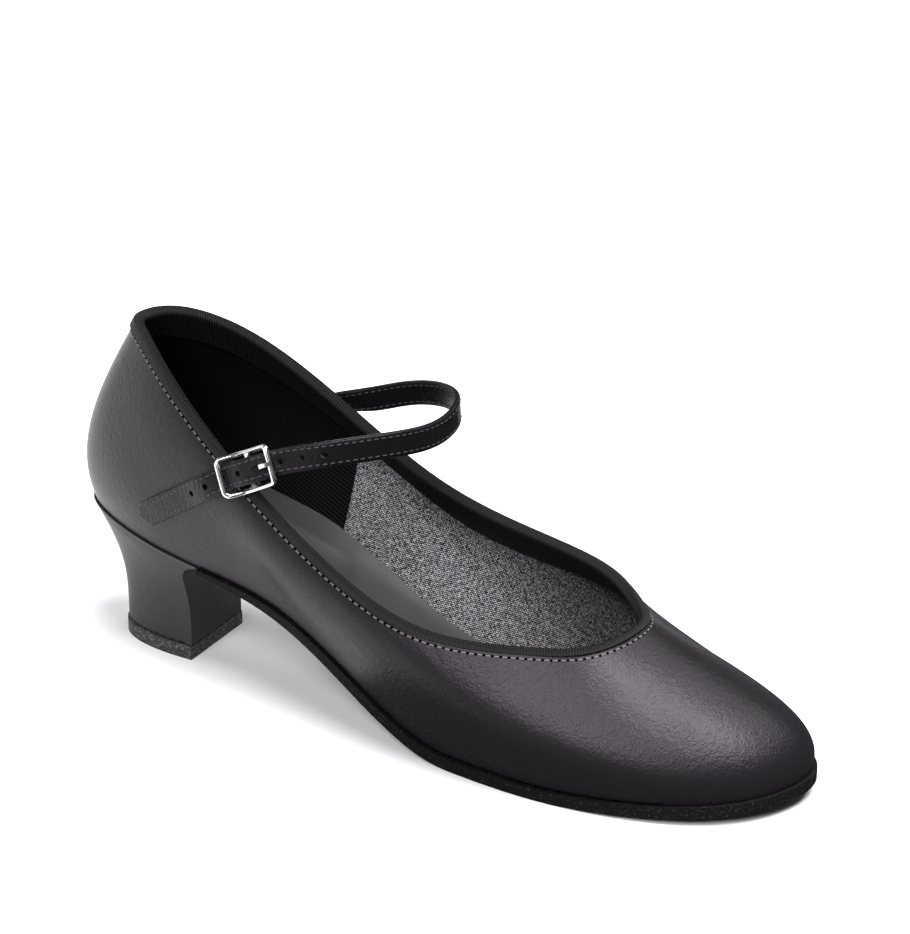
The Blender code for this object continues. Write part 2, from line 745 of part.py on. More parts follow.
def make_buckle(nickel):
    """The buckle's frame, bowed along the strap, with its centre bar."""
    path = frame_path()
    bow = BUCKLE_BOW * (path[:, 0] / end_bar()) ** 2
    places = in_buckle(path[:, 0], bow, path[:, 1])
    out = buckle_axes()[1]
    rings = []
    angles = [2.0 * math.pi * j / WIRE_SIDES for j in range(WIRE_SIDES)]
    for k, place in enumerate(places):
        along = unit(places[(k + 1) % len(places)] - places[k - 1])
        side = unit(np.cross(along, out))
        face = np.cross(side, along)
        rings.append([place + BUCKLE_WIRE * (side * math.cos(a) + face * math.sin(a)) for a in angles])
    faces = band_faces(len(rings), WIRE_SIDES, closed=True)
    frame = add_mesh("buckle_frame", np.concatenate(rings), faces, nickel)
    half = BUCKLE_WIDTH / 2.0 - BUCKLE_WIRE
    bar_rings = []
    angles = [2.0 * math.pi * j / BAR_SIDES for j in range(BAR_SIDES)]
    for across in (-half, half):
        bar_rings.append([
            in_buckle(BUCKLE_BAR * math.cos(a), BUCKLE_BAR * math.sin(a), across) for a in angles
        ])
    bar = capped_loft("centre_bar", bar_rings, nickel)
    bar.hide_render = True
    bar.display_type = "WIRE"
    join = frame.modifiers.new("centre_bar", "BOOLEAN")
    join.operation = "UNION"
    join.object = bar
    return frame


def arc_round_bar(first, last, count):
    """Places round the centre bar, from one angle to another in degrees: 0 is to the instep."""
    angles = np.radians(np.linspace(first, last, count))
    return [(WRAP * math.cos(angle), WRAP * math.sin(angle)) for angle in angles]


def strip_solid(name, low_path, high_path, half_width, half_thick, material):
    """A flat strip that bends in the buckle's own plane, given along its two edges."""
    edges = []
    for path, across in ((low_path, -half_width), (high_path, half_width)):
        path = np.asarray(path, float)
        step = np.gradient(path, axis=0)
        face = unit(np.stack([-step[:, 1], step[:, 0]], -1))
        for side in (-1.0, 1.0):
            places = path + face * np.asarray(half_thick).reshape(-1, 1) * side
            edges.append(in_buckle(places[:, 0], places[:, 1], across))
    order = (edges[0], edges[1], edges[3], edges[2])
    rings = [[edge[k] for edge in order] for k in range(len(low_path))]
    return capped_loft(name, rings, material)


def make_prong(nickel):
    """The prong: its eye goes round the centre bar, and its point lies on the far end."""
    rest = BUCKLE_BOW + BUCKLE_WIRE + PRONG_REST
    path = arc_round_bar(EYE_FROM, EYE_TO, ROUND_BAR)
    path += [(bend.along, bend.out) for bend in PRONG_BENDS]
    path += [(end_bar() + bend.along, rest + bend.out) for bend in PRONG_END]
    half = np.full(len(path), PRONG_THICK / 2.0)
    half[:ROUND_BAR] = EYE_THICK / 2.0
    half[-1] *= PRONG_POINT
    return strip_solid("buckle_prong", path, path, PRONG_WIDTH / 2.0, half, nickel)


def collar_under_tab(across):
    """Where the tab leaves the collar's binding, in the buckle's own directions."""
    turns = np.linspace(*TAB_TURNS, COLLAR_STEPS)
    crest = collar(turns, -(GAP + RIBBON + GAP) - TAB_THICK, -WALL / 2.0) - np.asarray(BUCKLE_AT)
    local = [crest @ axis for axis in buckle_axes()]
    order = np.argsort(local[2])
    return [float(np.interp(across, local[2][order], size[order])) for size in local[:2]]


def cell_solid(name, points, cells, material):
    """A sheet with a thickness, made of some cells of a grid of points: row, column, side."""
    rows, columns = points.shape[:2]

    def corner(row, column, side):
        return (row * columns + column) * 2 + side

    faces = []
    for row, column in cells:
        ring = ((row, column), (row, column + 1), (row + 1, column + 1), (row + 1, column))
        faces.append(tuple(corner(*place, 0) for place in ring))
        faces.append(tuple(corner(*place, 1) for place in reversed(ring)))
        sides = ((row - 1, column), (row, column + 1), (row + 1, column), (row, column - 1))
        for k, beyond in enumerate(sides):
            if beyond not in cells:
                first, second = ring[k], ring[(k + 1) % 4]
                faces.append((corner(*first, 0), corner(*first, 1), corner(*second, 1), corner(*second, 0)))
    return add_mesh(name, *used_only(points.reshape(-1, 3), faces), material)


def make_tab(leather):
    """The tab: from the collar of the outer quarter round the centre bar, slotted for the prong."""
    columns = (-TAB_WIDTH / 2.0, -TAB_SLOT, TAB_SLOT, TAB_WIDTH / 2.0)
    grids = []
    for across in columns:
        foot = collar_under_tab(across)
        bend = (foot[0] * TAB_BEND.along, foot[1] * TAB_BEND.out - TAB_SAG)
        path = [foot, bend, (-WRAP, -WRAP - TAB_TURN_IN)]
        path = np.array(path + arc_round_bar(-90.0, TAB_END_ANGLE, ROUND_BAR))
        step = np.gradient(path, axis=0)
        face = unit(np.stack([-step[:, 1], step[:, 0]], -1)) * TAB_THICK / 2.0
        grids.append([in_buckle(edge[:, 0], edge[:, 1], across) for edge in (path - face, path + face)])
    points = np.array(grids).transpose(2, 0, 1, 3)
    rows = len(points)
    whole = [(row, column) for row in range(TAB_WHOLE_ROWS) for column in range(3)]
    fingers = [(row, column) for row in range(TAB_WHOLE_ROWS, rows - 1) for column in (0, 2)]
    return cell_solid("buckle_tab", points, whole + fingers, leather)


def main():
    """Clear the scene and build the shoe."""
    for thing in list(bpy.data.objects):
        bpy.data.objects.remove(thing, do_unlink=True)
    make_upper()
    make_binding()
    make_insole()
    make_outsole()
    make_heel()
    make_top_piece()
    strap_leather = principled("strap_leather", (0.03, 0.028, 0.03), 0.5)
    nickel = principled("buckle_nickel", (0.75, 0.74, 0.72), 0.22, 1.0)
    make_strap(strap_leather)
    make_buckle(nickel)
    make_prong(nickel)
    make_tab(strap_leather)


main()
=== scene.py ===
# %% [markdown]
# # A character shoe, dressed for its photograph
#
# A character shoe is a stage dancer's court shoe: a thin sole that bends, a low covered heel that
# can take a stamp, and a strap that keeps the shoe on. The solids of the frame already have the
# shoe's form. This script gives each of them its finish and adds what is too fine for a solid:
# stitches, the ribs of the ribbon, the linings, creases and seams.
#
# Sizes are in metres, and MM turns a size in millimetres into metres. +X points to the toe, +Y to
# the inner side of the foot and +Z up. Places on the shoe are given from the back of its seat, and
# SEAT_BACK moves them into the frame.

# %% Load the frame
import math

import bmesh
import bpy
import numpy as np
from mathutils import Matrix, Vector
from mathutils.bvhtree import BVHTree


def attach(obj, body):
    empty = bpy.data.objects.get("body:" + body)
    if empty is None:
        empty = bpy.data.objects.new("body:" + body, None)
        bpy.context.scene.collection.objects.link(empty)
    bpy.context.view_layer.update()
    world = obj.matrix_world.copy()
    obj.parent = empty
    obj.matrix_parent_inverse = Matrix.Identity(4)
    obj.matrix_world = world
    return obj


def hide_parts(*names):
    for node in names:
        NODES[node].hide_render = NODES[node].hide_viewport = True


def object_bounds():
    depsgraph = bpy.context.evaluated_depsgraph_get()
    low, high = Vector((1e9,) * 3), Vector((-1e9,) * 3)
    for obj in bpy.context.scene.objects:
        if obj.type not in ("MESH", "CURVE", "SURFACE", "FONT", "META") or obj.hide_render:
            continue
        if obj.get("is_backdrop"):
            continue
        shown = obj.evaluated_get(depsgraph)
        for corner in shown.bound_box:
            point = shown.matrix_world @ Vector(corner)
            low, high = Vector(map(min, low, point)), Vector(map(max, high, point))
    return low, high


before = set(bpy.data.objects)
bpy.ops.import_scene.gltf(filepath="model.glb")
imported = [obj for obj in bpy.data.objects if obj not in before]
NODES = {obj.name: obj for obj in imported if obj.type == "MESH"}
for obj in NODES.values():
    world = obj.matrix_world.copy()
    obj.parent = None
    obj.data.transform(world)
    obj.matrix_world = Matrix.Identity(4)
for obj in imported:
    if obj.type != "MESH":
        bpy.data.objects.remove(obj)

MM = 0.001
CAD_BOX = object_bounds()
SEAT_BACK = Vector((-123.3, 0.3, 0.0)) * MM     # the back of the seat, in the frame

print("solids:", ", ".join(sorted(NODES)))
print("box in mm:", [round((high - low) / MM, 1) for low, high in zip(*CAD_BOX)])

# %% [markdown]
# ## Camera
#
# The photograph looks at the outer side of the shoe from its front: 30 degrees round from square
# on, and 25 degrees down. Product shots are taken from well back with a long lens, so that the toe
# doesn't swell. The camera stands 1.2 m from a point inside the shoe, with a lens that gives
# 3594 pixels to a radian of view in a picture 934 pixels high.

# %% Camera
AZIMUTH = math.radians(30.0)
ELEVATION = math.radians(25.0)
DISTANCE = 1.2
FOCAL_PIXELS = 3594.0
PICTURE_HEIGHT = 934.0
SENSOR = 36.0                                   # in millimetres
LOOK_AT = Vector((74.05, 97.11, 30.0)) * MM + SEAT_BACK


def add_camera():
    """The camera at the photograph's place."""
    back = Vector((
        math.sin(AZIMUTH) * math.cos(ELEVATION),
        -math.cos(AZIMUTH) * math.cos(ELEVATION),
        math.sin(ELEVATION),
    ))
    right = Vector((math.cos(AZIMUTH), math.sin(AZIMUTH), 0.0))
    turn = Matrix((right, back.cross(right), back)).transposed().to_4x4()
    data = bpy.data.cameras.new("camera")
    data.sensor_width = SENSOR
    data.lens = FOCAL_PIXELS * SENSOR / PICTURE_HEIGHT
    camera = bpy.data.objects.new("camera", data)
    camera.matrix_world = Matrix.Translation(LOOK_AT + back * DISTANCE) @ turn
    bpy.context.scene.collection.objects.link(camera)
    bpy.context.scene.camera = camera
    return camera


CAMERA = add_camera()
print("camera at", [round(size, 3) for size in CAMERA.location], "lens", round(CAMERA.data.lens, 1))

# %% [markdown]
# ## Shader nodes as sums
#
# Every finish is worked out from places on the shoe, so a finish is mostly arithmetic. A small
# class wraps the output of a shader node, so that a Python sum on it adds the Math nodes that do
# the same sum for each point of the surface. Finish holds one material and makes its other nodes.

# %% Shader classes
class Value:
    """The output of a shader node, on which Python's own operators add Math nodes."""

    def __init__(self, tree, socket):
        self.tree = tree
        self.socket = socket

    def math(self, operation, *others, first=None):
        node = self.tree.nodes.new("ShaderNodeMath")
        node.operation = operation
        for socket, value in zip(node.inputs, (self if first is None else first,) + others):
            feed(self.tree, socket, value)
        return Value(self.tree, node.outputs[0])

    def __add__(self, other):
        return self.math("ADD", other)

    def __sub__(self, other):
        return self.math("SUBTRACT", other)

    def __mul__(self, other):
        return self.math("MULTIPLY", other)

    def __truediv__(self, other):
        return self.math("DIVIDE", other)

    def __rsub__(self, other):
        return self.math("SUBTRACT", self, first=other)

    __radd__ = __add__
    __rmul__ = __mul__

    def __abs__(self):
        return self.math("ABSOLUTE")

    def waves(self, pitch):
        """A sine wave, from -1 to 1, that repeats at every pitch."""
        return (self * (2.0 * math.pi / pitch)).math("SINE")

    def ramp(self, start, end, low=0.0, high=1.0):
        """A smooth step from low at start to high at end."""
        node = self.tree.nodes.new("ShaderNodeMapRange")
        node.interpolation_type = "SMOOTHSTEP"
        for socket, value in zip(node.inputs, (self, start, end, low, high)):
            feed(self.tree, socket, value)
        return Value(self.tree, node.outputs[0])

    def ridge(self, middle, half):
        """One at middle, falling to nothing at half to either side."""
        return (abs(self - middle) / half).ramp(1.0, 0.0)


def feed(tree, socket, value):
    """Link a Value to a socket, or set a plain number or colour on it."""
    if isinstance(value, Value):
        tree.links.new(value.socket, socket)
    else:
        socket.default_value = value


class Finish:
    """One material, with its coordinates in millimetres."""

    def __init__(self, name, color, roughness, metallic=0.0, shine=0.5, tint=(1.0, 1.0, 1.0)):
        self.material = bpy.data.materials.new(name)
        self.material.use_nodes = True
        self.tree = self.material.node_tree
        self.shader = self.tree.nodes["Principled BSDF"]
        self.set("Base Color", (*color, 1.0))
        self.set("Roughness", roughness)
        self.set("Metallic", metallic)
        self.set("Specular IOR Level", shine)
        self.set("Specular Tint", (*tint, 1.0))
        metres = self.node("TexCoord", "Object")
        scale = {"operation": "SCALE"}
        self.place = self.node("VectorMath", "Vector", scale, Vector=metres, Scale=1.0 / MM)

    def node(self, kind, output, settings=(), **inputs):
        """Any other shader node, with its inputs given by name."""
        node = self.tree.nodes.new("ShaderNode" + kind)
        for name, value in dict(settings).items():
            setattr(node, name, value)
        for name, value in inputs.items():
            feed(self.tree, node.inputs[name.replace("_", " ")], value)
        return Value(self.tree, node.outputs[output])

    def set(self, name, value):
        """Set one of the shader's own sockets."""
        feed(self.tree, self.shader.inputs[name], value)

    def axis(self, place, letter):
        """One coordinate of a place."""
        return self.node("SeparateXYZ", letter, Vector=place)

    def uv(self):
        """Places along and across a band, in millimetres, from the mesh's own UV map."""
        place = self.node("UVMap", "UV", {"uv_map": BAND})
        return self.axis(place, "X"), self.axis(place, "Y")

    def stretched(self, along, across, up):
        """The coordinates scaled by three numbers."""
        node = self.tree.nodes.new("ShaderNodeVectorMath")
        node.operation = "MULTIPLY"
        feed(self.tree, node.inputs[0], self.place)
        node.inputs[1].default_value = (along, across, up)
        return Value(self.tree, node.outputs[0])

    def noise(self, scale, detail=2.0, rough=0.5, place=None):
        """Soft noise from 0 to 1, with about scale spots to the millimetre."""
        return self.node(
            "TexNoise", "Fac", Vector=place or self.place, Scale=scale, Detail=detail, Roughness=rough,
        )

    def cells(self, scale):
        """Distance from the middles of scattered cells, with about scale cells to the millimetre."""
        return self.node("TexVoronoi", "Distance", {"feature": "F1"}, Vector=self.place, Scale=scale)

    def mix(self, share, first, second):
        """A colour between two colours."""
        node = self.tree.nodes.new("ShaderNodeMix")
        node.data_type = "RGBA"
        feed(self.tree, node.inputs[0], share)
        for socket, color in ((node.inputs[6], first), (node.inputs[7], second)):
            feed(self.tree, socket, color if isinstance(color, Value) else (*color, 1.0))
        return Value(self.tree, node.outputs[2])

    def bump(self, height):
        """Raise the surface by a height in millimetres."""
        node = self.tree.nodes.new("ShaderNodeBump")
        node.inputs["Distance"].default_value = MM
        feed(self.tree, node.inputs["Height"], height)
        self.set("Normal", Value(self.tree, node.outputs[0]))


BAND = "band"
print("shader classes ready")

# %% [markdown]
# ## Finishes
#
# The upper is a coated fabric made to look like calf. Its coat is smooth with a grain of tiny
# pebbles under a millimetre across, and fine crinkles, most of them where it was pulled over the
# toe. Its sheen is broad and soft, so the roughness is middling. The leather is so dark that most
# of what is seen is that sheen.
#
# The ribbon is grosgrain: ribs run across it, about one to the millimetre. The quarter is lined in
# black ribbed cloth, and the vamp in a grey woven cloth with a salt and pepper look, which comes
# from pale and dark threads crossing. The sole is leather board with blackened, cut edges. The
# buckle is nickel plate, nearly a mirror.
#
# Lengths in a finish are in millimetres, and the height that bump takes is one too.

# %% Finishes
LEATHER = (0.0078, 0.0066, 0.0082)
LEATHER_SHINE = 0.25
LEATHER_TINT = (1.0, 0.90, 1.0)
LINING_EDGE = 77.0                              # where the two linings meet, from the back of the seat
LINING_RIB = 1.1                                # from rib to rib of the quarter's lining
WEAVE = 0.72                                    # from thread to thread of the vamp's lining
WEAVE_TURN = 0.6                                # its turn in radians
RIBBON_RIB = 0.85                               # from rib to rib of the collar's ribbon
BALL_CREASES = 7.0                              # from crease to crease at the ball


def leather_grain(finish, depth=0.045):
    """The pebbled grain of the coat, with faint wider ripples."""
    pebbles = finish.cells(1.3)
    fine = finish.noise(2.2, 3.0, 0.6)
    ripples = finish.noise(0.5, 2.0)
    return pebbles * depth + fine * depth * 1.4 + ripples * depth * 2.5


def from_seat(finish):
    """Distance of a point from the back of the seat, in millimetres."""
    return finish.axis(finish.place, "X") - SEAT_BACK.x / MM


def make_leather():
    """The upper's coat: crinkled at the toe and below the topline at the ball."""
    finish = Finish("upper_leather", LEATHER, 0.38, shine=LEATHER_SHINE, tint=LEATHER_TINT)
    grain = leather_grain(finish)
    along = from_seat(finish)
    toe = along.ramp(180.0, 215.0) * along.ramp(246.0, 232.0)
    warp = finish.noise(0.09, 2.0) * 6.0
    crinkle = finish.noise(0.9, 3.0, 0.6, place=finish.stretched(0.75, 0.35, 0.6))
    patches = finish.noise(0.12, 1.0).ramp(0.35, 0.65, 0.35, 1.0)
    folds = abs(crinkle - 0.5).ramp(0.0, 0.11, -1.0, 0.0) * patches
    across = finish.axis(finish.place, "Y")
    ball = along.ramp(112.0, 128.0) * along.ramp(160.0, 145.0) * across.ramp(-24.0, -32.0)
    waves = (along * 0.9 + finish.axis(finish.place, "Z") * 1.5 + warp).waves(BALL_CREASES)
    finish.bump(grain + folds * (toe * 0.6 + 0.5) * 0.028 + waves * ball * 0.02)
    finish.set("Roughness", 0.33 + finish.noise(0.05, 2.0) * 0.06)
    finish.set("Base Color", finish.mix(finish.noise(0.03, 2.0), LEATHER, (0.0092, 0.0078, 0.0098)))
    return finish.material


def make_lining():
    """Ribbed black cloth in the quarter, and woven grey cloth in the vamp, darkened towards the toe by
    painted shade.
    """
    finish = Finish("lining", (0.02, 0.02, 0.02), 0.9, shine=0.1)
    along = from_seat(finish)
    front = along.ramp(LINING_EDGE - 0.15, LINING_EDGE + 0.15)
    out_of_rib = finish.axis(finish.place, "Z") * 0.95 + along * 0.42
    ribs = out_of_rib.waves(LINING_RIB)
    turn = {"rotation_type": "Y_AXIS"}
    turned = finish.node("VectorRotate", "Vector", turn, Vector=finish.place, Angle=WEAVE_TURN)
    weave = finish.axis(turned, "X").waves(WEAVE) * finish.axis(turned, "Z").waves(WEAVE)
    speckle = finish.noise(1.5, 2.0, 0.7)
    salt = (weave * 0.25 + speckle).ramp(0.42, 0.80)
    # Painted shade: the grey cloth is darkened towards the toe, where less light reaches inside the shoe.
    dim = along.ramp(100.0, 180.0, 1.0, 0.4)
    grey = finish.mix(salt * dim, (0.007, 0.006, 0.008), (0.47, 0.45, 0.48))
    black = finish.mix(ribs.ramp(-1.0, 1.0), (0.0003, 0.0003, 0.0003), (0.003, 0.003, 0.003))
    finish.set("Base Color", finish.mix(front, black, grey))
    seam = along.ridge(LINING_EDGE, 0.8)
    finish.bump((1.0 - front) * ribs * 0.12 + front * (weave * 0.08 + speckle * 0.1) + seam * 0.25)
    return finish.material


def make_ribbon():
    """Grosgrain, ribbed across its width, and a little paler along its outer edge, which is a painted
    highlight.
    """
    finish = Finish("binding_ribbon", (0.008, 0.007, 0.009), 0.6, shine=0.2)
    along, across = finish.uv()
    ribs = along.waves(RIBBON_RIB)
    slub = finish.noise(1.2, 2.0)
    # Painted highlight: the ribbon is made paler along its outer edge.
    outer = across.ramp(2.6, 1.4)
    finish.bump(ribs * 0.16 + slub * 0.05)
    black = finish.mix(ribs.ramp(-1.0, 1.0), (0.001, 0.001, 0.001), (0.012, 0.011, 0.013))
    finish.set("Base Color", finish.mix(outer * 0.35, black, (0.022, 0.020, 0.024)))
    return finish.material


def make_sock():
    """The sock: a thin coated sheet over the insole board, with a dull sheen."""
    finish = Finish("insole_board", (0.020, 0.019, 0.021), 0.5, shine=0.3)
    finish.bump(finish.noise(1.5, 3.0) * 0.03 + finish.noise(0.06, 2.0) * 0.3)
    finish.set("Roughness", 0.46 + finish.noise(0.08, 2.0) * 0.12)
    return finish.material


def make_sole():
    """Blackened board: fibres lie along its cut edge, and the tread is a little worn."""
    finish = Finish("sole_composition", (0.004, 0.004, 0.004), 0.8, shine=0.15)
    fibres = finish.noise(1.0, 3.0, 0.6, place=finish.stretched(0.5, 0.5, 2.4))
    specks = finish.noise(1.4, 2.0, 0.7).ramp(0.56, 0.70)
    finish.set("Base Color", finish.mix(specks * 0.6, (0.003, 0.003, 0.003), (0.04, 0.038, 0.037)))
    finish.bump(fibres * 0.16 + specks * 0.05)
    return finish.material


def make_heel_cover():
    """The same coated cloth drawn over the heel block. The breast is browner and duller."""
    finish = Finish("heel_cover", LEATHER, 0.4, shine=LEATHER_SHINE, tint=(1.0, 0.96, 0.96))
    along = from_seat(finish)
    drop = finish.noise(0.12, 3.0, 0.5, place=finish.stretched(1.0, 1.0, 0.3))
    brown = finish.mix(drop, (0.011, 0.009, 0.009), (0.018, 0.015, 0.015))
    breast = along.ramp(41.0, 43.0) * finish.axis(finish.node("NewGeometry", "Normal"), "X").ramp(0.6, 0.9)
    finish.set("Base Color", finish.mix(breast, brown, (0.007, 0.0045, 0.003)))
    finish.set("Roughness", 0.40 + finish.noise(0.07, 2.0) * 0.08 + breast * 0.2)
    finish.bump(leather_grain(finish, 0.04))
    return finish.material


def make_tread_rubber():
    """The wearing piece: hard rubber with pale specks."""
    finish = Finish("top_piece_rubber", (0.015, 0.015, 0.015), 0.7)
    specks = finish.noise(1.3, 2.0, 0.7).ramp(0.50, 0.66)
    finish.set("Base Color", finish.mix(specks, (0.012, 0.012, 0.013), (0.13, 0.12, 0.12)))
    finish.bump(finish.noise(1.4, 3.0, 0.6) * 0.2)
    return finish.material


def make_strap_leather():
    """The strap's coat, like the upper's, with creases across it."""
    finish = Finish("strap_leather", (0.0045, 0.004, 0.0048), 0.34, shine=0.2, tint=LEATHER_TINT)
    creases = finish.noise(0.9, 3.0, 0.6, place=finish.stretched(1.3, 0.8, 0.35))
    finish.bump(leather_grain(finish) + creases * 0.3)
    finish.set("Roughness", 0.30 + creases * 0.1)
    return finish.material


def make_nickel():
    """Nickel plate with a few hairlines from handling."""
    finish = Finish("buckle_nickel", (0.78, 0.77, 0.75), 0.14, metallic=1.0)
    hairs = finish.noise(0.9, 3.0, 0.7, place=finish.stretched(0.4, 2.0, 4.0))
    finish.set("Roughness", 0.10 + hairs * 0.14)
    return finish.material


def make_thread(name, color, roughness=0.6, shine=0.5):
    """Spun thread, the paler lip of a seam with its painted highlight, or with no shine a flat patch of
    painted shade for a needle hole.
    """
    finish = Finish(name, color, roughness, shine=shine)
    finish.set("Base Color", finish.mix(finish.noise(2.0, 2.0), color, [0.6 * part for part in color]))
    return finish.material


FINISHES = {
    "upper_leather": make_leather(),
    "lining": make_lining(),
    "binding_ribbon": make_ribbon(),
    "insole_board": make_sock(),
    "sole_composition": make_sole(),
    "heel_cover": make_heel_cover(),
    "top_piece_rubber": make_tread_rubber(),
    "strap_leather": make_strap_leather(),
    "buckle_nickel": make_nickel(),
    "collar_thread": make_thread("collar_thread", (0.14, 0.13, 0.145)),
    "strap_thread": make_thread("strap_thread", (0.035, 0.032, 0.037)),
    # Painted shade: flat black patches stand for the shade in the needle holes.
    "needle_hole_painted_shade": make_thread("needle_hole_painted_shade", (0.0005, 0.0005, 0.0005), 1.0, 0.0),
    # Painted highlight: the heel's seam lip is paler than the heel's cover.
    "seam_lip_painted_highlight": make_thread("seam_lip_painted_highlight", (0.045, 0.041, 0.045), 0.4, 0.4),
}
print("finishes:", ", ".join(FINISHES))

# %% [markdown]
# ## From solids to pieces
#
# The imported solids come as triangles. A piece starts as a copy of its solid: the copy is merged,
# its triangles are joined back into the four-sided faces that they were cut from, and its sharp
# edges are creased. Subdivision then rounds it without moving those edges, so the piece keeps the
# solid's form and gets a skin fine enough for soft creases.

# %% Helpers for meshes
SHARP = math.radians(35.0)
MERGE = 1e-6
LEVEL = 0.9999          # upward share of a face's normal above which it counts as level


def copied(node, *finishes):
    """A merged copy of a solid, in four-sided faces, with its sharp edges creased."""
    piece = NODES[node].copy()
    piece.data = NODES[node].data.copy()
    piece.data.transform(NODES[node].matrix_world)
    piece.parent = None
    piece.matrix_world = Matrix.Identity(4)
    piece.data.materials.clear()
    for finish in finishes:
        piece.data.materials.append(FINISHES[finish])
    bpy.context.scene.collection.objects.link(piece)
    bpy.ops.object.select_all(action="DESELECT")
    piece.select_set(True)
    bpy.context.view_layer.objects.active = piece
    bpy.ops.object.mode_set(mode="EDIT")
    bpy.ops.mesh.select_mode(type="EDGE")
    bpy.ops.mesh.select_all(action="SELECT")
    bpy.ops.mesh.remove_doubles(threshold=MERGE)
    bpy.ops.mesh.tris_convert_to_quads(
        face_threshold=math.radians(50.0), shape_threshold=math.radians(90.0), topology_influence=2.0,
    )
    bpy.ops.mesh.select_all(action="DESELECT")
    bpy.ops.mesh.edges_select_sharp(sharpness=SHARP)
    bpy.ops.transform.edge_crease(value=1.0)
    bpy.ops.object.mode_set(mode="OBJECT")
    return piece


def level_ends_joined(piece):
    """Each level end of a piece made into one face, so that it stays flat and its rim true."""
    bpy.ops.object.mode_set(mode="EDIT")
    bpy.ops.mesh.select_mode(type="FACE")
    bpy.ops.mesh.select_all(action="DESELECT")
    mesh = bmesh.from_edit_mesh(piece.data)
    for face in mesh.faces:
        face.select = abs(face.normal.z) > LEVEL
    bmesh.update_edit_mesh(piece.data)
    bpy.ops.mesh.dissolve_faces(use_verts=False)
    bpy.ops.object.mode_set(mode="OBJECT")
    return piece


def subdivided(piece, levels):
    """The piece after its subdivision, applied."""
    modifier = piece.modifiers.new("round", "SUBSURF")
    modifier.levels = levels
    modifier.render_levels = levels
    modifier.uv_smooth = "NONE"
    bpy.ops.object.select_all(action="DESELECT")
    piece.select_set(True)
    bpy.context.view_layer.objects.active = piece
    bpy.ops.object.modifier_apply(modifier=modifier.name)
    bpy.ops.object.shade_smooth_by_angle(angle=SHARP)
    return piece


def new_piece(name, finish, corners, faces):
    """A piece made from its own points and faces."""
    mesh = bpy.data.meshes.new(name)
    mesh.from_pydata(corners, [], faces)
    mesh.update()
    mesh.shade_smooth()
    mesh.materials.append(FINISHES[finish])
    piece = bpy.data.objects.new(name, mesh)
    bpy.context.scene.collection.objects.link(piece)
    return finished(piece, name)


def finished(piece, name, node=None):
    """Name the piece, hang it under the root body, and hide the solid that it stands for."""
    piece.name = name
    piece.data.name = name
    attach(piece, "root")
    if node:
        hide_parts(node)
    count = sum(len(face.vertices) - 2 for face in piece.data.polygons)
    print(f"{name}: {count} triangles")
    return piece


def dressed(node, finish, levels):
    """A solid's piece with one finish."""
    return finished(subdivided(copied(node, finish), levels), node + "_finish", node)


def walk(vertex, edge):
    """Vertices of a row of four-sided faces, from vertex along edge, until it ends or closes."""
    path = [vertex]
    while True:
        vertex = edge.other_vert(vertex)
        if vertex is path[0]:
            return path, True
        path.append(vertex)
        if len(vertex.link_edges) != 4:
            return path, False
        faces = set(edge.link_faces)
        ahead = [other for other in vertex.link_edges if not faces & set(other.link_faces)]
        if len(ahead) != 1:
            return path, False
        edge = ahead[0]


def tube_grid(piece, columns):
    """Vertex numbers of a closed tube of four-sided faces, as one row for each ring of columns."""
    mesh = bmesh.new()
    mesh.from_mesh(piece.data)
    mesh.verts.ensure_lookup_table()
    first = mesh.verts[0]
    for edge in first.link_edges:
        ring, closed = walk(first, edge)
        if closed and len(ring) == columns:
            break
    beside = next(iter(edge.link_faces))
    side = next(other for other in first.link_edges if other is not edge and other in beside.edges)
    grid = []
    here, forward = first, edge
    for k in range(columns):
        section, _ = walk(here, side)
        grid.append([vertex.index for vertex in section])
        face = next(face for face in side.link_faces if forward in face.edges)
        after = forward.other_vert(here)
        side = next(other for other in face.edges if after in other.verts and other is not forward)
        ahead = ring[(k + 2) % columns]
        forward = next(other for other in after.link_edges if ahead in other.verts)
        here = after
    mesh.free()
    return np.array(grid).T


def places_of(piece):
    """Every vertex of a mesh as one array."""
    places = np.zeros(len(piece.data.vertices) * 3)
    piece.data.vertices.foreach_get("co", places)
    return places.reshape(-1, 3)


def travel_along(points):
    """Distance along a line at each of its points."""
    steps = np.linalg.norm(np.diff(points, axis=0), axis=1)
    return np.concatenate([[0.0], np.cumsum(steps)])


def at_travel(points, travel, at):
    """Places on a line at given distances along it."""
    return np.stack([np.interp(at, travel, points[:, k]) for k in range(3)], 1)


def around_length(points):
    """Distance along a closed line of points, with the whole length at the end."""
    return travel_along(np.concatenate([points, points[:1]]))


def band_uv(piece, grid):
    """UV in millimetres: along the tube and round its section, from the grid's first ring."""
    places = places_of(piece)
    along = around_length(places[grid[0]]) / MM
    steps = np.linalg.norm(np.diff(places[grid], axis=0), axis=2).mean(1)
    section = np.concatenate([[0.0], np.cumsum(steps)]) / MM
    rings, columns = grid.shape
    seat = {int(grid[ring, column]): (ring, column) for ring in range(rings) for column in range(columns)}
    layer = piece.data.uv_layers.new(name=BAND)
    for face in piece.data.polygons:
        corners = [seat[index] for index in face.vertices]
        wrap_column = max(column for ring, column in corners) - min(column for ring, column in corners) > 1
        wrap_ring = max(ring for ring, column in corners) - min(ring for ring, column in corners) > 1
        for loop, (ring, column) in zip(face.loop_indices, corners):
            u = along[columns] if wrap_column and column == 0 else along[column]
            v = section[-1] + 1.0 if wrap_ring and ring == 0 else section[ring]
            layer.data[loop].uv = (u, v)


print("mesh helpers ready")

# %% [markdown]
# ## Upper
#
# The upper is cut from two panels, a vamp and a quarter, cemented over the last and under the sole.
# Walking inside, the back is lined in black ribbed cloth and the front in grey cloth. The solid's
# outer skin takes the leather and its inner skin the linings.
#
# The main creases are soft: the leather sags a little over the waist, gathers under the strap and
# breaks behind the ball. Each crease is a trough along a given line, and the skin's own vertices
# are moved in or out by a smooth bell across it.

# %% Upper
COLUMNS = 84            # columns of faces round the upper and round the ribbon
CREASE_ENDS = 0.1       # share of the rise and fall along a crease that is cut off at either end


